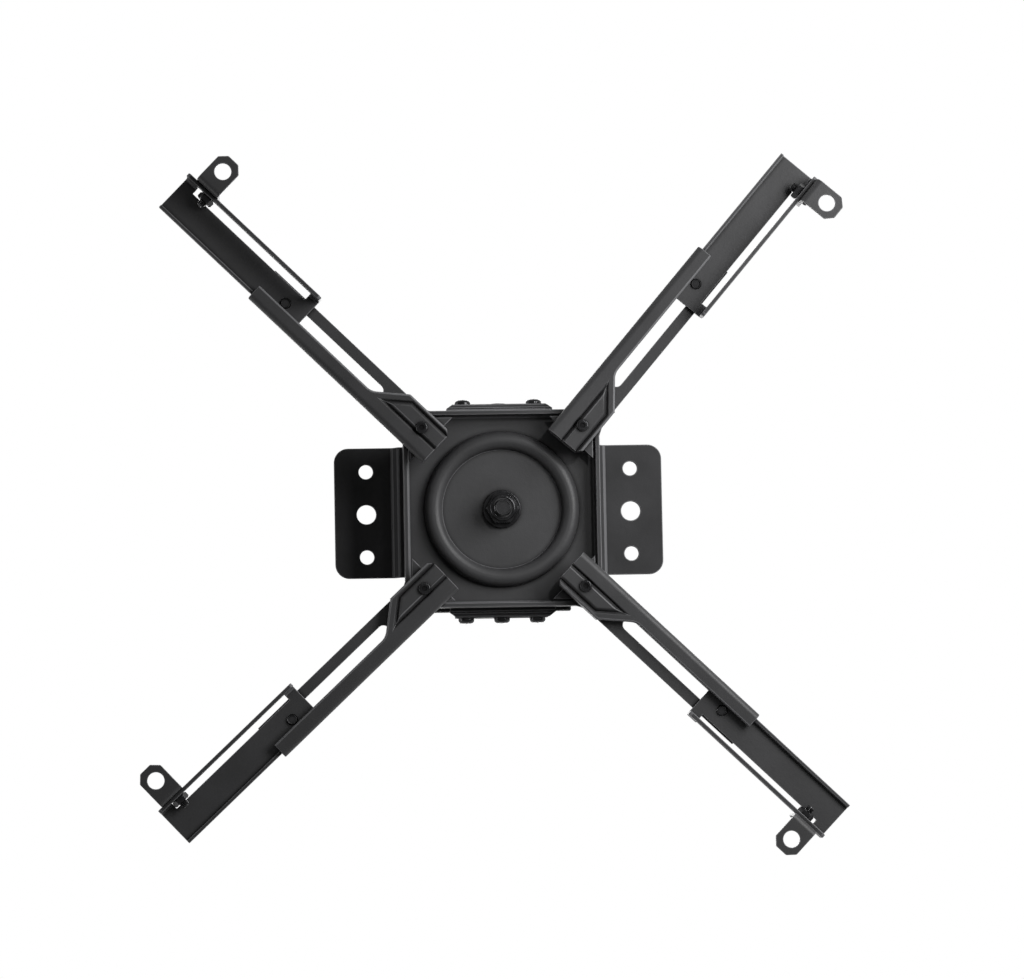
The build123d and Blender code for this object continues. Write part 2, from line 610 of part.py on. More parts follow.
def outer_arm():
    """Outer arm: web that slides in the channel, low spine lip and slotted flange."""
    spine = -OUTER_SPINE_REACH
    bottom = ARM_FLOOR - FLANGE_DEPTH
    outline = FilletPolyline(
        (spine, ARM_FLOOR), (OUTER_FLANGE_SIDE, ARM_FLOOR), (OUTER_FLANGE_SIDE, bottom),
        radius=BEND_INSIDE + ARM_SHEET)
    outline += FilletPolyline(
        (spine, WEB_BOTTOM), (OUTER_FLANGE_INSIDE, WEB_BOTTOM), (OUTER_FLANGE_INSIDE, bottom),
        radius=BEND_INSIDE)
    outline += Line((spine, WEB_BOTTOM), (spine, ARM_FLOOR))
    outline += Line((OUTER_FLANGE_INSIDE, bottom), (OUTER_FLANGE_SIDE, bottom))
    body = extrude(Plane.YZ * make_face(outline), OUTER_LENGTH / 2, both=True)
    body = Pos((OUTER_START + OUTER_END) / 2, 0, 0) * body
    lip_bottom = ARM_FLOOR - CHANNEL_ROOM + OUTER_LIP_CLEARANCE
    body += block(OUTER_START, OUTER_END, spine, spine + OUTER_LIP_THICKNESS, lip_bottom, ARM_FLOOR)
    rounded = body.edges().filter_by(Axis.X).group_by(Axis.Y)[0].sort_by(Axis.Z)[-1]
    body = fillet(rounded, OUTER_SPINE_ROUNDING)
    body -= block(FLANGE_SLOT_START, FLANGE_SLOT_END, OUTER_WEB_REACH, OUTER_FLANGE_SIDE + OVERCUT,
                  bottom + FLANGE_STRIP, ARM_FLOOR + OVERCUT)
    body -= hole(CLAMP_SHANK, WEB_BOTTOM, ARM_FLOOR, CLAMP_REACH, -ARM_SLOT_OFFSET)
    ends = body.edges().filter_by(Axis.Y).group_by(Axis.Z)[0]
    return fillet(ends, OUTER_CORNER)


def clamp_screw():
    """Round-headed screw that locks the outer arm in the inner arm's slot."""
    radius, height = CLAMP_HEAD
    socket_width, socket_depth = CLAMP_SOCKET
    seat = ARM_TOP + CLAMP_WASHER[1]
    top = seat + height
    cap = post(radius, seat, top)
    cap = fillet(cap.edges().group_by(Axis.Z)[-1], height * 2 / 3)
    shank = post(CLAMP_SHANK, WEB_BOTTOM - CLAMP_PAST_WEB, seat)
    shank = chamfer(shank.edges().group_by(Axis.Z)[0], CLAMP_SHANK_TIP)
    socket = hexagon(socket_width, top - socket_depth, top + OVERCUT)
    return Pos(CLAMP_REACH, -ARM_SLOT_OFFSET, 0) * (cap + shank - socket)


def clamp_washer():
    """Washer under the clamp screw's head."""
    body = ring(CLAMP_WASHER[0], CLAMP_SHANK, ARM_TOP, ARM_TOP + CLAMP_WASHER[1])
    return Pos(CLAMP_REACH, -ARM_SLOT_OFFSET, 0) * body


def foot():
    """Angle foot: slotted leg against the flange and a holed tab for the projector."""
    low = FOOT_TAB_BOTTOM
    top = ARM_FLOOR + FOOT_LEG_RISE
    outside = [(OUTER_FLANGE_SIDE, top), (OUTER_FLANGE_SIDE, low), (FOOT_TAB_END, low)]
    inside = [(FOOT_LEG_SIDE, top), (FOOT_LEG_SIDE, low + ARM_SHEET), (FOOT_TAB_END, low + ARM_SHEET)]
    body = folded(outside, inside, Plane.YZ, FOOT_WIDTH, BEND_INSIDE + ARM_SHEET, BEND_INSIDE)
    body = Pos(FOOT_CENTRE_REACH, 0, 0) * body
    tab_corners = body.edges().filter_by(Axis.Z).group_by(Axis.Y)[-1]
    body = chamfer(tab_corners, FOOT_CHAMFER)
    leg_corners = body.edges().filter_by(Axis.Y).group_by(Axis.Z)[-1]
    body = fillet(leg_corners, FOOT_CORNER)
    body -= hole(FOOT_HOLE_RADIUS, low, low + ARM_SHEET, FOOT_CENTRE_REACH, FOOT_HOLE_SIDE)
    half = SMALL_SHANK + SLIDING_GAP
    slot = Rot(0, 90, 0) * long_hole(
        -FOOT_TRAVEL - half, FOOT_TRAVEL + half, 0, 2 * half, -ARM_SHEET - OVERCUT, ARM_SHEET + OVERCUT)
    slot = Rot(0, 0, 90) * slot
    return body - Pos(FOOT_SCREW_REACH, FOOT_LEG_SIDE, FOOT_SCREW_HEIGHT) * slot


def foot_screw():
    """Domed screw through the foot's leg and the flange slot."""
    length = FOOT_LEG_SIDE - FOOT_SCREW_END
    body = Rot(-90, 0, 0) * domed_screw(FOOT_HEAD, SMALL_SHANK, length)
    return Pos(FOOT_SCREW_REACH, FOOT_LEG_SIDE, FOOT_SCREW_HEIGHT) * body


def foot_nut():
    """Nut on the inside of the flange, in the gap beside the web."""
    body = Rot(-90, 0, 0) * small_nut(FOOT_NUT_HEIGHT, SMALL_SHANK)
    return Pos(FOOT_SCREW_REACH, OUTER_FLANGE_INSIDE - FOOT_NUT_HEIGHT, FOOT_SCREW_HEIGHT) * body


def at_corner(corner, turn, body):
    """Carry a body from the arm's own frame to its pivot on the tray."""
    pivot = Rot(0, 0, corner) * Pos(PIVOT_REACH * math.sqrt(2), 0, 0)
    return pivot * Rot(0, 0, turn) * body


os.makedirs("parts", exist_ok=True)
pieces = {
    "ceiling_bracket": ceiling_bracket(),
    "yoke": yoke(),
    "swivel_bolt": swivel_bolt(),
    "swivel_washer": swivel_washer(),
    "swivel_disc": swivel_disc(),
    "lock_washer": lock_washer(),
    "lock_nut": lock_nut(),
    "nylon_ring": nylon_ring(),
    "hub_tray": hub_tray(),
    "tilt_rivet_back": tilt_rivet(-1),
    "tilt_pivot_front": tilt_screw(0, 1),
    "tilt_pivot_nut": tilt_nut(0, 1),
}
for end, side in (("back", -1), ("front", 1)):
    pieces["friction_plate_" + end] = friction_plate(side)
    for hand, x in (("left", -TILT_SCREW_PITCH), ("right", TILT_SCREW_PITCH)):
        pieces["tilt_screw_" + end + "_" + hand] = tilt_screw(x, side)
        pieces["tilt_nut_" + end + "_" + hand] = tilt_nut(x, side)
for name, (corner, turn, slid_in) in ARM_PLACES.items():
    for kind, body in (
        ("inner_arm", inner_arm()), ("outer_arm", outer_arm()), ("arm_rivet", arm_rivet()),
        ("arm_washer", arm_washer()), ("clamp_screw", clamp_screw()), ("clamp_washer", clamp_washer()),
    ):
        pieces[kind + "_" + name] = at_corner(corner, turn, body)
    for kind, body in (("foot", foot()), ("foot_screw", foot_screw()), ("foot_nut", foot_nut())):
        pieces[kind + "_" + name] = at_corner(corner, turn, Pos(-slid_in, 0, 0) * body)
for name, body in pieces.items():
    export_step(body, "parts/" + name + ".step")
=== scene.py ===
# %% [markdown]
# A ceiling mount for a projector is almost all folded sheet steel: a bracket that is
# screwed to the ceiling, a yoke that tilts in it, a square tray that swivels under the
# yoke, and arms that slide in one another out to four small feet. The exact solids come
# from the CAD model. This lesson dresses them: edges get their small radius, the fasteners
# get threads, and the steel gets its coating.

# %% Load the frame
import json
import math

import bmesh
import bpy
from mathutils import Matrix, Vector
from mathutils.bvhtree import BVHTree


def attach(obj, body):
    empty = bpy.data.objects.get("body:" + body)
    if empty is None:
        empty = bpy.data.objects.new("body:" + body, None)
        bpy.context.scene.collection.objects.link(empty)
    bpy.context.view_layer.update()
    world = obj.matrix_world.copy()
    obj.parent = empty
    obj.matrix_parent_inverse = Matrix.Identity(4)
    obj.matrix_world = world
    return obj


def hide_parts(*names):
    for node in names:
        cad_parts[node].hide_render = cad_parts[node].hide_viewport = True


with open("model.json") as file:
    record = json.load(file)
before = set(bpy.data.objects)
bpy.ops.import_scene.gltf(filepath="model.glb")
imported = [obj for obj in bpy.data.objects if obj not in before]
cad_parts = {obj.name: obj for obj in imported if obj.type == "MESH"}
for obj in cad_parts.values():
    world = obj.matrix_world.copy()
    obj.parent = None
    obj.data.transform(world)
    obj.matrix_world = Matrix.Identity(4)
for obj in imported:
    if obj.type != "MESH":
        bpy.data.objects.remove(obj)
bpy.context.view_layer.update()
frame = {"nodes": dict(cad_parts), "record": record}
ARMS = ["back_right", "front_right", "front_left", "back_left"]
MM = 0.001

# %% [markdown]
# The picture is taken from under the mount, square to it within a few degrees, through a
# long lens. Rather than pushing the camera about by eye, its place is worked out from a
# distance and three small turns. Blender's camera looks along its own -Z with +Y up, so
# the rows of the turn are handed over with two of them reversed.

# %% Camera
VIEW_DISTANCE = 2.0
VIEW_TURNS = (-4.25, -3.51, -1.10)
PIXELS_PER_RADIAN = 4437.8
AIM = Vector((0.0, 0.0, -0.030))
AIM_PIXEL = (502.4, 508.4)
FRAME_PIXELS = (1024, 979)


def view_turn(turns):
    """Rotation from the mount's axes to right, down and forward of the camera."""
    about_x, about_y, about_z = (math.radians(turn) for turn in turns)
    return (Matrix.Rotation(about_z, 3, "Z") @ Matrix.Rotation(about_x, 3, "X")
            @ Matrix.Rotation(about_y, 3, "Y"))


def place_camera():
    """Camera at the worked-out place, with no shift and no blur."""
    turn = view_turn(VIEW_TURNS)
    offset = Vector((
        (AIM_PIXEL[0] - FRAME_PIXELS[0] / 2) * VIEW_DISTANCE / PIXELS_PER_RADIAN,
        (AIM_PIXEL[1] - FRAME_PIXELS[1] / 2) * VIEW_DISTANCE / PIXELS_PER_RADIAN,
        VIEW_DISTANCE))
    data = bpy.data.cameras.new("camera")
    data.sensor_width = 36.0
    data.sensor_fit = "HORIZONTAL"
    data.lens = PIXELS_PER_RADIAN * data.sensor_width / FRAME_PIXELS[0]
    data.clip_end = 20.0
    camera = bpy.data.objects.new("camera", data)
    bpy.context.collection.objects.link(camera)
    back = turn.transposed()
    axes = Matrix((back.col[0], -back.col[1], -back.col[2])).transposed()
    camera.matrix_world = Matrix.Translation(AIM - back @ offset) @ axes.to_4x4()
    bpy.context.scene.camera = camera
    return camera


camera = place_camera()
print("camera at", [round(value, 3) for value in camera.matrix_world.translation])

# %% [markdown]
# Powder coat is paint that was baked from dust. Close up it has a fine grain, and under
# that a slower unevenness like the skin of an orange. Both could be modelled, but they are
# only hundredths of a millimetre high, so bump nodes driven by noise do it. The colour
# hardly varies, only in faint clouds.

# %% Noise, colour and bump nodes
def new_material(name):
    """Empty material, its node tree and its surface shader."""
    material = bpy.data.materials.new(name)
    material.use_nodes = True
    tree = material.node_tree
    return material, tree, tree.nodes["Principled BSDF"]


def noise(tree, scale, detail, seed):
    """Noise at a scale given in grains per metre."""
    place = tree.nodes.new("ShaderNodeTexCoord")
    texture = tree.nodes.new("ShaderNodeTexNoise")
    texture.noise_dimensions = "4D"
    texture.inputs["W"].default_value = seed
    texture.inputs["Scale"].default_value = scale
    texture.inputs["Detail"].default_value = detail
    tree.links.new(place.outputs["Object"], texture.inputs["Vector"])
    return texture.outputs["Fac"]


def remap(tree, value, low, high, start=0.3, end=0.7):
    """Stretch a noise value between two levels."""
    node = tree.nodes.new("ShaderNodeMapRange")
    node.inputs["From Min"].default_value = start
    node.inputs["From Max"].default_value = end
    node.inputs["To Min"].default_value = low
    node.inputs["To Max"].default_value = high
    tree.links.new(value, node.inputs["Value"])
    return node.outputs["Result"]


def mixed(tree, factor, first, second):
    """Colour that runs from the first to the second as the factor goes from 0 to 1."""
    mix = tree.nodes.new("ShaderNodeMix")
    mix.data_type = "RGBA"
    for end, colour in (("A", first), ("B", second)):
        if isinstance(colour, tuple):
            mix.inputs[end].default_value = (*colour, 1.0)
        else:
            tree.links.new(colour, mix.inputs[end])
    tree.links.new(factor, mix.inputs["Factor"])
    return mix.outputs["Result"]


def bump(tree, height, distance, strength, before=None):
    """Bump node, stacked on an earlier one where there is one."""
    node = tree.nodes.new("ShaderNodeBump")
    node.inputs["Distance"].default_value = distance
    node.inputs["Strength"].default_value = strength
    tree.links.new(height, node.inputs["Height"])
    if before is not None:
        tree.links.new(before, node.inputs["Normal"])
    return node.outputs["Normal"]


print("helpers ready")

# %% [markdown]
# The edges are painted paler, a painted highlight for the thin light lines that rounded edges
# catch. Pointiness finds such edges, but it smears over a whole flat that has no points
# inside. It serves on small, dense pieces such as screws, and the sheet pieces carry a note on
# each face that belongs to an edge instead. In creases, and where two parts meet, shade is
# painted in: the colour turns almost fully dark there. An ambient occlusion node measures how
# closed in a point is. Dark noise painted into the corners would do as well at rest, but it
# would stay behind when parts move.

# %% Masks for painted edge highlights and painted shade in creases
EDGE_NOTE = "edge_strip"
CREASE_CLOSED, CREASE_OPEN = 0.35, 0.95
CREASE_SAMPLES = 6


def edge_mask(tree, start, end):
    """0 on flats, 1 on outward edges."""
    geometry = tree.nodes.new("ShaderNodeNewGeometry")
    return remap(tree, geometry.outputs["Pointiness"], 0.0, 1.0, start, end)


def noted_edges(tree):
    """1 on the faces noted as strips of an edge, 0 on all others."""
    note = tree.nodes.new("ShaderNodeAttribute")
    note.attribute_name = EDGE_NOTE
    return note.outputs["Fac"]


def painted_shade_mask(tree, distance):
    """1 in the open, towards 0 in creases and where parts meet; it places the painted shade."""
    shade = tree.nodes.new("ShaderNodeAmbientOcclusion")
    shade.samples = CREASE_SAMPLES
    shade.inputs["Distance"].default_value = distance
    return remap(tree, shade.outputs["AO"], 0.0, 1.0, CREASE_CLOSED, CREASE_OPEN)


print("edge faces are noted as", EDGE_NOTE)

# %% [markdown]
# One recipe serves two coatings. The tray, the disc and the arms are satin. The bracket and
# the yoke are seen at a flat angle, where even a faint sheen mirrors the surroundings, and
# on the real mount they look dull, so their coat has nearly no sheen. In the creases both
# colour and sheen are darkened together as painted shade, or a dark corner would still shine.

# %% Black powder coat
# Gain on the lighter coat colour for the painted highlight on edge strips.
EDGE_HIGHLIGHT_GAIN = 2.7
# Reach and colour of the painted shade in creases, and how much sheen stays in it.
COAT_CREASE = 2.2 * MM
COAT_PAINTED_SHADE_COLOUR = (0.004, 0.004, 0.004)
PAINTED_SHADE_SHEEN_SHARE = 0.1
CLOUDS, PEEL, GRAIN = 45.0, 520.0, 1900.0
PEEL_HEIGHT, GRAIN_HEIGHT = 0.10 * MM, 0.07 * MM


def powder_coat(name, dark, light, rough, sheen, seed):
    """Baked black coating with fine grain, orange peel, painted highlights on its edges and
    painted shade in its creases.
    """
    material, tree, shader = new_material(name)
    cloud = remap(tree, noise(tree, CLOUDS, 3.0, seed), 0.0, 1.0)
    # Edge strips are painted paler: a painted highlight for the light lines that edges catch.
    painted_edge_highlight = tuple(part * EDGE_HIGHLIGHT_GAIN for part in light)
    colour = mixed(tree, noted_edges(tree), mixed(tree, cloud, dark, light), painted_edge_highlight)
    # Painted shade: colour goes almost black in creases and where parts meet, and sheen drops with
    # it.
    painted_shade_openness = painted_shade_mask(tree, COAT_CREASE)
    tree.links.new(mixed(tree, painted_shade_openness, COAT_PAINTED_SHADE_COLOUR, colour), shader.inputs["Base Color"])
    tree.links.new(remap(tree, painted_shade_openness, PAINTED_SHADE_SHEEN_SHARE * sheen, sheen, 0.0, 1.0),
                   shader.inputs["Specular IOR Level"])
    grain = noise(tree, GRAIN, 2.0, seed + 1)
    peel = noise(tree, PEEL, 1.0, seed + 2)
    tree.links.new(remap(tree, grain, rough - 0.07, rough + 0.07), shader.inputs["Roughness"])
    skin = bump(tree, peel, PEEL_HEIGHT, 0.35)
    tree.links.new(bump(tree, grain, GRAIN_HEIGHT, 0.45, skin), shader.inputs["Normal"])
    return material


coat = powder_coat("black_powder_coat", dark=(0.036, 0.036, 0.037), light=(0.050, 0.050, 0.052),
                   rough=0.46, sheen=0.30, seed=1.0)
dull_coat = powder_coat("dull_black_coat", dark=(0.045, 0.045, 0.046),
                        light=(0.062, 0.062, 0.064), rough=0.60, sheen=0.03, seed=5.0)
print("made", coat.name, "and", dull_coat.name)

# %% [markdown]
# The fasteners are plated and blackened, so they are smoother than the coating and more
# metallic. Their corners are painted paler, a painted highlight for the glints they catch.
# Turning marks run round each of them on the real part. Noise squeezed along one direction
# would point the wrong way on most of them, so fine even noise in the roughness stands for
# the marks.

# %% Blackened steel and black nylon
# Colour of the fasteners' corners, a painted highlight.
STEEL_EDGE_HIGHLIGHT = (0.11, 0.11, 0.113)
STEEL_CREASE = 1.5 * MM
# Colour of the painted shade in the fasteners' creases.
STEEL_PAINTED_SHADE_COLOUR = (0.003, 0.003, 0.003)


def blackened_steel(name, dark, light, rough, seed):
    """Plated fastener steel, nearly black, with a soft metallic sheen, corners painted paler as
    highlights and creases painted dark as shade.
    """
    material, tree, shader = new_material(name)
    cloud = remap(tree, noise(tree, 260.0, 4.0, seed), 0.0, 1.0)
    # Corners are painted paler, a painted highlight for the glints they catch.
    colour = mixed(tree, edge_mask(tree, 0.54, 0.68), mixed(tree, cloud, dark, light), STEEL_EDGE_HIGHLIGHT)
    # Creases are painted dark, a painted shade.
    tree.links.new(mixed(tree, painted_shade_mask(tree, STEEL_CREASE), STEEL_PAINTED_SHADE_COLOUR, colour),
                   shader.inputs["Base Color"])
    fine = noise(tree, 2600.0, 3.0, seed + 1)
    tree.links.new(remap(tree, fine, rough - 0.06, rough + 0.08), shader.inputs["Roughness"])
    tree.links.new(bump(tree, fine, 0.03 * MM, 0.3), shader.inputs["Normal"])
    shader.inputs["Metallic"].default_value = 0.7
    return material


def nylon(name, dark, light, seed):
    """Cut nylon sheet: dull, very slightly waxy."""
    material, tree, shader = new_material(name)
    cloud = remap(tree, noise(tree, 320.0, 3.0, seed), 0.0, 1.0)
    tree.links.new(mixed(tree, cloud, dark, light), shader.inputs["Base Color"])
    fine = noise(tree, 1500.0, 2.0, seed + 1)
    tree.links.new(remap(tree, fine, 0.5, 0.68), shader.inputs["Roughness"])
    tree.links.new(bump(tree, fine, 0.04 * MM, 0.25), shader.inputs["Normal"])
    return material


steel = blackened_steel("blackened_steel", dark=(0.012, 0.012, 0.013),
                        light=(0.034, 0.034, 0.036), rough=0.22, seed=11.0)
black_nylon = nylon("black_nylon", dark=(0.022, 0.022, 0.023), light=(0.034, 0.034, 0.035),
                    seed=21.0)
print("made", steel.name, "and", black_nylon.name)

# %% [markdown]
# Every edge of cut and folded sheet is a little rounded by the coating. The CAD solids
# have their bends but sharp cut edges, so each coated piece is a copy of its solid with
# a third-of-a-millimetre bevel. The tessellated faces are merged back into whole flats
# first, because a bevel follows true edges and would trip over the triangles. A bevel
# weight then marks the sharp edges, and leaves out bits so short that the bevels at their
# ends would cross. Any point that still lands off the solid is put back on it. Weighted
# normals keep each flat shaded flat, so that only the bevels and bends look round. They
# go by the bevel's own note of which faces are flats, because by size alone a long bevel
# would win over a small flat.

# %% Rounded copies of the coated pieces
HUB_EDGE_ROUND = {"ceiling_bracket": 0.40, "yoke": 0.40, "hub_tray": 0.40, "swivel_disc": 0.30}
ARM_EDGE_ROUND = 0.32
WELD = 0.002 * MM
FLAT_WITHIN = math.radians(0.6)
SHARP_FROM = math.radians(38)
RUNS_ON_WITHIN = math.radians(35)
SHORTEST_EDGE = 1.6
LONGEST_THROW = 0.7
WIDEST_STRIP = 0.85


def body_of_node(node):
    """Name of the body that carries a CAD node."""
    for body, nodes in frame["record"]["behaviour"]["bodies"].items():
        if node in nodes:
            return body
    raise ValueError(node)


def finish_piece(piece, node, material):
    """Tie a new piece to its body, its CAD node and its finish."""
    piece.data.materials.clear()
    piece.data.materials.append(material)
    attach(piece, body_of_node(node))
    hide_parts(node)
    return piece


def plain_mesh(node):
    """Editable copy of a CAD node's mesh, welded and without its imported normals."""
    mesh = frame["nodes"][node].data.copy()
    if "custom_normal" in mesh.attributes:
        mesh.attributes.remove(mesh.attributes["custom_normal"])
    work = bmesh.new()
    work.from_mesh(mesh)
    bmesh.ops.remove_doubles(work, verts=work.verts, dist=WELD)
    return mesh, work


def hold_to_surface(mesh, surface, reach):
    """Put points that a bevel threw off the solid back on it, and count them."""
    strays = 0
    for vert in mesh.vertices:
        place, _, _, distance = surface.find_nearest(vert.co)
        if distance > reach:
            vert.co = place
            strays += 1
    return strays


def mark_edges(work, width):
    """Give each sharp edge a bevel weight, leaving out bits too short to turn a corner."""
    weight = work.edges.layers.float.new("bevel_weight_edge")
    sharp = {edge for edge in work.edges
             if len(edge.link_faces) == 2 and edge.calc_face_angle() > SHARP_FROM}
    for edge in sharp:
        edge[weight] = 1.0
    for vert in work.verts:
        meeting = [edge for edge in vert.link_edges if edge in sharp]
        if len(meeting) == 2:
            ways = [edge.other_vert(vert).co - vert.co for edge in meeting]
            if ways[0].angle(-ways[1], 0.0) < RUNS_ON_WITHIN:
                continue
        for edge in meeting:
            if edge.calc_length() < SHORTEST_EDGE * width:
                edge[weight] = 0.0


def note_edge_strips(mesh, width):
    """Note on each face whether it is one of the narrow strips that round an edge."""
    note = mesh.attributes.new(EDGE_NOTE, "FLOAT", "FACE")
    for face in mesh.polygons:
        corners = [mesh.vertices[index].co for index in face.vertices]
        longest = max((one - two).length for one, two in zip(corners, corners[1:] + corners[:1]))
        note.data[face.index].value = float(face.area < WIDEST_STRIP * width * longest)


def rounded_copy(node, width):
    """Copy of a CAD node with its flats merged and its sharp edges rounded."""
    mesh, work = plain_mesh(node)
    surface = BVHTree.FromBMesh(work)
    bmesh.ops.dissolve_limit(work, angle_limit=FLAT_WITHIN, verts=work.verts, edges=work.edges)
    mark_edges(work, width)
    work.to_mesh(mesh)
    work.free()
    piece = bpy.data.objects.new(node + "_rounded", mesh)
    bpy.context.collection.objects.link(piece)
    bevel = piece.modifiers.new("edge_round", "BEVEL")
    bevel.width = width
    bevel.segments = 2
    bevel.limit_method = "WEIGHT"
    bevel.use_clamp_overlap = False
    bevel.face_strength_mode = "FSTR_ALL"
    graph = bpy.context.evaluated_depsgraph_get()
    piece.data = bpy.data.meshes.new_from_object(piece.evaluated_get(graph))
    piece.modifiers.remove(bevel)
    held = hold_to_surface(piece.data, surface, LONGEST_THROW * width)
    note_edge_strips(piece.data, width)
    piece.data.shade_smooth()
    flats = piece.modifiers.new("flat_faces", "WEIGHTED_NORMAL")
    flats.mode = "FACE_AREA"
    flats.weight = 100
    flats.keep_sharp = False
    flats.use_face_influence = True
    print(node, "rounded, points put back:", held)
    return piece


coated = list(HUB_EDGE_ROUND)
for kind in ("inner_arm", "outer_arm", "foot"):
    coated += [kind + "_" + arm for arm in ARMS]
for node in coated:
    finish = dull_coat if node in ("ceiling_bracket", "yoke") else coat
    width = HUB_EDGE_ROUND.get(node, ARM_EDGE_ROUND) * MM
    finish_piece(rounded_copy(node, width), node, finish)
print("rounded copies:", len(coated))

# %% [markdown]
# Threads are what makes a small steel cylinder read as a screw. A helix that is cut with
# booleans is slow, so each screw keeps the head of its solid, loses its plain shank, and
# gets a new one. Its rings of points step along the axis, and each point's distance from
# the axis follows a zigzag that climbs one pitch per turn. The end of a rolled screw is
# slightly hollow inside a narrow rim, so the last ring is closed that way.

# %% Threaded shanks
THREAD_STEPS = 4
THREAD_POINTS = 28
THREAD_DEPTH = 0.54
LEAD_IN = 0.9
SUNK_IN_HEAD = 0.3 * MM
END_RIM = 0.5 * MM
HOLLOW_SLOPE = 0.4 * MM
HOLLOW_DEPTH = 0.5 * MM


def thread_radius(crest, pitch, phase, from_tip):
    """Distance of the thread's surface from the axis, tapering over the last turn."""
    depth = THREAD_DEPTH * pitch
    zigzag = abs(2 * (phase % 1.0) - 1)
    lead_in = max(0.0, 1 - from_tip / (LEAD_IN * pitch)) * depth
    return min(crest - depth * zigzag, crest - lead_in)


def threaded_shank(work, start, direction, length, crest, pitch):
    """Add rings of points for a threaded rod, joined by quads, and close its tip."""
    side = direction.orthogonal().normalized()
    other = direction.cross(side)
    rows = max(2, round(length / pitch * THREAD_STEPS))
    rings = []
    for row in range(rows + 1):
        along = length * row / rows
        ring = []
        for point in range(THREAD_POINTS):
            turn = point / THREAD_POINTS
            out = thread_radius(crest, pitch, along / pitch + turn, length - along)
            angle = 2 * math.pi * turn
            spoke = side * math.cos(angle) + other * math.sin(angle)
            ring.append(work.verts.new(start + direction * along + spoke * out))
        rings.append(ring)
    for low, high in zip(rings, rings[1:]):
        for point in range(THREAD_POINTS):
            after = (point + 1) % THREAD_POINTS
            work.faces.new((low[point], low[after], high[after], high[point]))
    hollow_end(work, rings[-1], direction)


def hollow_end(work, ring, direction):
    """Close a shank with a narrow rim round a shallow hollow."""
    end = work.faces.new(ring)
    bmesh.ops.inset_individual(work, faces=[end], thickness=END_RIM)
    bmesh.ops.inset_individual(work, faces=[end], thickness=HOLLOW_SLOPE)
    bmesh.ops.translate(work, verts=list(end.verts), vec=-direction * HOLLOW_DEPTH)


def threaded_copy(node, direction, crest, pitch):
    """Copy of a screw's solid with a threaded shank in place of the plain one."""
    direction = Vector(direction).normalized()
    mesh, work = plain_mesh(node)
    tip = max(vert.co.dot(direction) for vert in work.verts)
    end = [vert.co for vert in work.verts if vert.co.dot(direction) > tip - 1e-5]
    centre = sum(end, Vector()) / len(end)

    def off_axis(vert):
        away = vert.co - centre
        return (away - direction * away.dot(direction)).length

    seat = max(vert.co.dot(direction) for vert in work.verts if off_axis(vert) > crest + 0.3 * MM)
    plain = [vert for vert in work.verts
             if vert.co.dot(direction) > seat + 0.01 * MM and off_axis(vert) < crest + 0.05 * MM]
    bmesh.ops.delete(work, geom=plain, context="VERTS")
    start = centre + direction * (seat - SUNK_IN_HEAD - centre.dot(direction))
    threaded_shank(work, start, direction, tip - seat + SUNK_IN_HEAD, crest, pitch)
    bmesh.ops.recalc_face_normals(work, faces=work.faces)
    work.to_mesh(mesh)
    work.free()
    mesh.shade_smooth()
    mesh.set_sharp_from_angle(angle=math.radians(32))
    piece = bpy.data.objects.new(node + "_threaded", mesh)
    bpy.context.collection.objects.link(piece)
    return piece


DOWN = (0, 0, -1)
BOLT_THREAD = (4.0 * MM, 1.25 * MM)
CLAMP_THREAD = (2.4 * MM, 0.8 * MM)
SMALL_THREAD = (2.0 * MM, 0.7 * MM)
screws = {"swivel_bolt": (DOWN, *BOLT_THREAD), "tilt_pivot_front": ((0, -1, 0), *SMALL_THREAD)}
for end, inward in (("back", 1), ("front", -1)):
    for hand in ("left", "right"):
        screws["tilt_screw_" + end + "_" + hand] = ((0, inward, 0), *SMALL_THREAD)
slides = {joint["name"]: joint["axis"] for joint in frame["record"]["behaviour"]["joints"]}
for arm in ARMS:
    screws["clamp_screw_" + arm] = (DOWN, *CLAMP_THREAD)
    outward = slides["arm_reach_" + arm]
    screws["foot_screw_" + arm] = ((outward[1], -outward[0], 0), *SMALL_THREAD)
for node, (direction, crest, pitch) in screws.items():
    finish_piece(threaded_copy(node, direction, crest, pitch), node, steel)
print("threaded screws:", len(screws))

# %% [markdown]
# Pressed nuts and washers have softened corners too, only smaller than the coated sheet.
# The rivets and the nylon pieces are round or flat already, so they keep their solids and
# just take their finish.

# %% Nuts, washers, rivets and nylon
NUT_EDGE_ROUND = 0.14 * MM
nuts = ["lock_nut", "lock_washer", "tilt_pivot_nut"]
nuts += ["tilt_nut_" + end + "_" + hand for end in ("back", "front") for hand in ("left", "right")]
nuts += [kind + "_" + arm for kind in ("foot_nut", "clamp_washer") for arm in ARMS]
for node in nuts:
    finish_piece(rounded_copy(node, NUT_EDGE_ROUND), node, steel)
kept = 0
for node, solid in frame["nodes"].items():
    if node in coated or node in screws or node in nuts:
        continue
    is_nylon = node.startswith(("friction_plate", "swivel_washer", "arm_washer", "nylon_ring"))
    solid.data.materials.clear()
    solid.data.materials.append(black_nylon if is_nylon else steel)
    kept += 1
print("nuts and washers:", len(nuts), "kept solids:", kept)

# %% [markdown]
# The mount hangs, so the floor lies well below it. The main light is a soft box close by on
# the right. Because it is close, the right-hand arms get about twice the light of the left
# ones, and because it stands low, the hub's shade covers the left ear. That low light leaves
# the tray's own floor in the shade of its wall, so a snooted light from below puts a little
# back, on the hub alone. A narrow strip far on the left draws thin light lines along the
# edges that face it, and a wide soft light above serves whoever looks at the mount from the
# ceiling side.

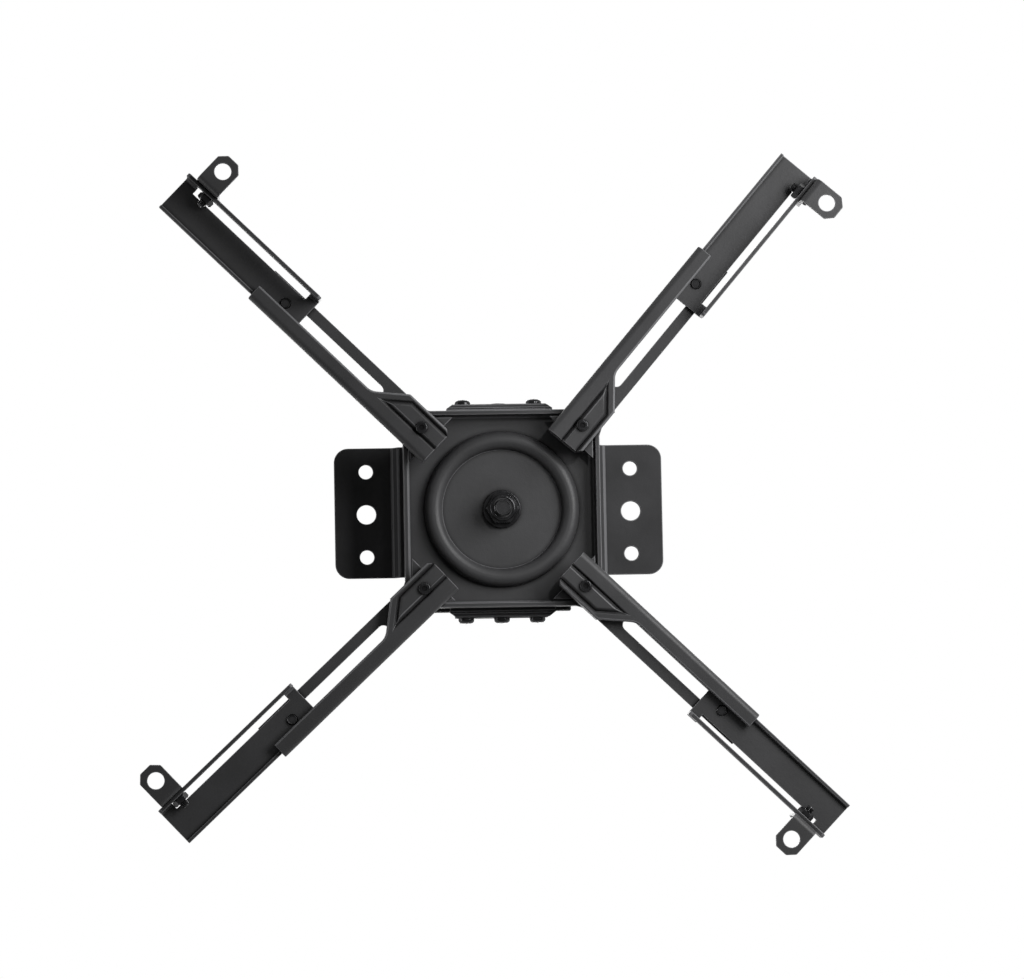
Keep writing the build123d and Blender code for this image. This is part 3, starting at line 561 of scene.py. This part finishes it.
# %% Lamps
def area_light(name, place, aim, width, height, power):
    """Soft rectangular light pointed at a spot, its height along Y."""
    data = bpy.data.lights.new(name, "AREA")
    data.shape = "RECTANGLE"
    data.size = width
    data.size_y = height
    data.energy = power
    light = bpy.data.objects.new(name, data)
    bpy.context.collection.objects.link(light)
    forward = (Vector(aim) - Vector(place)).normalized()
    right = forward.cross(Vector((0.0, 1.0, 0.0))).normalized()
    up = right.cross(forward)
    turn = Matrix((right, up, -forward)).transposed()
    light.matrix_world = Matrix.Translation(place) @ turn.to_4x4()
    return light


def snooted_light(name, place, aim, cone, power):
    """Spot light behind a snoot, which keeps its light within a soft round patch."""
    data = bpy.data.lights.new(name, "SPOT")
    data.energy = power
    data.spot_size = math.radians(cone)
    data.spot_blend = 0.8
    data.shadow_soft_size = 0.02
    light = bpy.data.objects.new(name, data)
    bpy.context.collection.objects.link(light)
    turn = (Vector(aim) - Vector(place)).to_track_quat("-Z", "Y").to_matrix()
    light.matrix_world = Matrix.Translation(place) @ turn.to_4x4()
    return light


area_light("right_softbox", (0.42, -0.20, -0.42), (0.02, -0.01, -0.03), 0.30, 0.45, 4.4)
area_light("left_strip", (-0.90, 0.05, -0.10), (0.0, 0.0, -0.02), 0.06, 0.8, 1.6)
area_light("top_light", (0.15, -0.25, 1.3), (0.0, 0.0, 0.0), 0.9, 0.9, 12.0)
snooted_light("hub_snoot", (0.38, -0.45, -1.4), (0.016, 0.0, -0.03), 4.9, 12.0)

# %% [markdown]
# The background is white where the camera looks at it, directly, mirrored or through
# something clear. To the rest of the scene the world is nearly dark, so black paint stays
# black. A bright world would be simpler, but its light would come from all sides and wash
# out every shadow. The Light Path node tells the two kinds of looking apart.

# %% World
WORLD_LIGHT, WORLD_SEEN = 0.02, 1.0


def brightest(tree, values):
    """Largest of several values."""
    result = values[0]
    for value in values[1:]:
        node = tree.nodes.new("ShaderNodeMath")
        node.operation = "MAXIMUM"
        tree.links.new(result, node.inputs[0])
        tree.links.new(value, node.inputs[1])
        result = node.outputs["Value"]
    return result


def glow_when_seen(tree, lighting, seen_strength):
    """Strength for light falling on surfaces, and another where it is seen or mirrored."""
    path = tree.nodes.new("ShaderNodeLightPath")
    seen = brightest(tree, [path.outputs[kind] for kind in (
        "Is Camera Ray", "Is Glossy Ray", "Is Transmission Ray")])
    return remap(tree, seen, lighting, seen_strength, 0.0, 1.0)


world = bpy.data.worlds.new("studio")
world.use_nodes = True
bpy.context.scene.world = world
sky = world.node_tree.nodes["Background"]
sky.inputs["Color"].default_value = (1.0, 1.0, 1.0, 1.0)
strength = glow_when_seen(world.node_tree, WORLD_LIGHT, WORLD_SEEN)
world.node_tree.links.new(strength, sky.inputs["Strength"])
print("world seen at", WORLD_SEEN, "and lighting at", WORLD_LIGHT)

# %% [markdown]
# A mount on a ceiling has no floor near it, but a plain pale one, a room's height below,
# catches what little shadow reaches it and gives views from above a ground. The lamps
# hardly reach it, so it gets a faint glow of its own, again only where it is seen.

# %% Floor
FLOOR_HEIGHT = -2.4
FLOOR_REACH = 6.0
FLOOR_SEEN = 0.22


def floor_material():
    """Pale studio floor with a trace of unevenness."""
    material, tree, shader = new_material("pale_floor")
    cloud = remap(tree, noise(tree, 2.0, 3.0, 31.0), 0.0, 1.0)
    tree.links.new(mixed(tree, cloud, (0.62, 0.62, 0.62), (0.66, 0.66, 0.66)),
                   shader.inputs["Base Color"])
    shader.inputs["Roughness"].default_value = 0.7
    shader.inputs["Emission Color"].default_value = (1.0, 1.0, 1.0, 1.0)
    tree.links.new(glow_when_seen(tree, 0.0, FLOOR_SEEN), shader.inputs["Emission Strength"])
    return material


corners = [(-1, -1), (1, -1), (1, 1), (-1, 1)]
floor_mesh = bpy.data.meshes.new("floor")
floor_mesh.from_pydata(
    [(x * FLOOR_REACH, y * FLOOR_REACH, FLOOR_HEIGHT) for x, y in corners], [], [(0, 1, 2, 3)])
floor = bpy.data.objects.new("floor", floor_mesh)
bpy.context.collection.objects.link(floor)
floor_mesh.materials.append(floor_material())
bpy.context.scene.view_settings.view_transform = "Standard"
print("floor at", FLOOR_HEIGHT)
